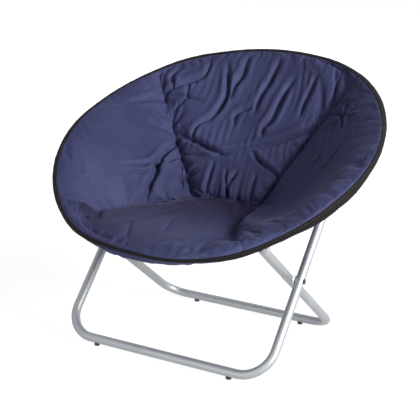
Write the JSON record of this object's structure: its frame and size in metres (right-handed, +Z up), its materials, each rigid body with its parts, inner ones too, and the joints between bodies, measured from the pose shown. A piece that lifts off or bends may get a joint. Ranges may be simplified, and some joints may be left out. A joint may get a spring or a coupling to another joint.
{
  "type": "folding saucer chair",
  "caption": "Folding saucer chair: a padded bowl seat hung in a round tubular ring on two crossed U-shaped tubular leg frames.",
  "frame": {"origin": "on the floor, under the middle of the chair's bounding box as it stands open", "axes": "+Z up; the sitter faces -Y, so the backrest rises towards +Y; +X to the viewer's right when looking at the chair's front"},
  "size_m": [0.8272, 0.7122, 0.7122],
  "materials": {
    "painted_tube": "silver-grey powder coat, satin",
    "zinc_hardware": "bright zinc plating",
    "dark_plastic": "dark grey moulded plastic",
    "nylon_spacer": "off-white nylon, slightly translucent look",
    "sleeve_fabric": "black woven polyester",
    "seat_fabric": "navy blue-violet polyester, slight sheen, quilted over wadding"
  },
  "bodies": {
    "front_legs": {"front_leg_frame": "painted_tube", "front_leg_plug_right": "dark_plastic", "front_leg_plug_left": "dark_plastic", "front_foot_right": "dark_plastic", "front_foot_left": "dark_plastic", "cross_bolt_right": "dark_plastic", "cross_bolt_left": "dark_plastic", "cross_nut_right": "zinc_hardware", "cross_nut_left": "zinc_hardware", "cross_spacer_right": "nylon_spacer", "cross_spacer_left": "nylon_spacer", "rear_hoop_bolt_right": "zinc_hardware", "rear_hoop_bolt_left": "zinc_hardware", "rear_hoop_nut_right": "zinc_hardware", "rear_hoop_nut_left": "zinc_hardware"},
    "rear_legs": {"rear_leg_frame": "painted_tube", "rear_leg_plug_right": "dark_plastic", "rear_leg_plug_left": "dark_plastic", "rear_foot_right": "dark_plastic", "rear_foot_left": "dark_plastic", "rear_leg_pin_right": "zinc_hardware", "rear_leg_pin_left": "zinc_hardware"},
    "rear_hoop": {"rear_hoop": "painted_tube", "rear_hoop_bracket_right": "painted_tube", "rear_hoop_bracket_left": "painted_tube", "rear_hinge_strap_right": "painted_tube", "rear_hinge_strap_left": "painted_tube", "hinge_rivet_right": "zinc_hardware", "hinge_rivet_left": "zinc_hardware", "rear_sleeve": "sleeve_fabric", "pad_back": "seat_fabric", "pad_left_rear": "seat_fabric", "pad_right_rear": "seat_fabric"},
    "front_hoop": {"front_hoop": "painted_tube", "front_hoop_bracket_right": "painted_tube", "front_hoop_bracket_left": "painted_tube", "front_hoop_bolt_right": "zinc_hardware", "front_hoop_bolt_left": "zinc_hardware", "front_hinge_strap_right": "painted_tube", "front_hinge_strap_left": "painted_tube", "front_sleeve": "sleeve_fabric", "pad_front": "seat_fabric", "pad_left_front": "seat_fabric", "pad_right_front": "seat_fabric"}
  },
  "joints": [
    {"name": "fold", "type": "hinge", "parent": "front_legs", "child": "rear_legs", "pos_m": [0, -0.06772, 0.2127], "axis": [-1, 0, 0], "range_deg": [0, 76]},
    {"name": "rear_hoop_tilt", "type": "hinge", "parent": "front_legs", "child": "rear_hoop", "pos_m": [0, 0.2579, 0.61625], "axis": [1, 0, 0], "range_deg": [0, 26.27]},
    {"name": "ring_hinge", "type": "hinge", "parent": "rear_hoop", "child": "front_hoop", "pos_m": [0, -0.14505, 0.42386], "axis": [-1, 0, 0], "range_deg": [0, 173.75], "deforming": ["pad_back", "pad_left_rear", "pad_right_rear", "pad_front", "pad_left_front", "pad_right_front", "rear_sleeve", "front_sleeve"]}
  ],
  "couplings": [
    {"joint": "rear_hoop_tilt", "follows": "fold", "ratio": 0.34555},
    {"joint": "ring_hinge", "follows": "fold", "ratio": 2.2859}
  ]
}
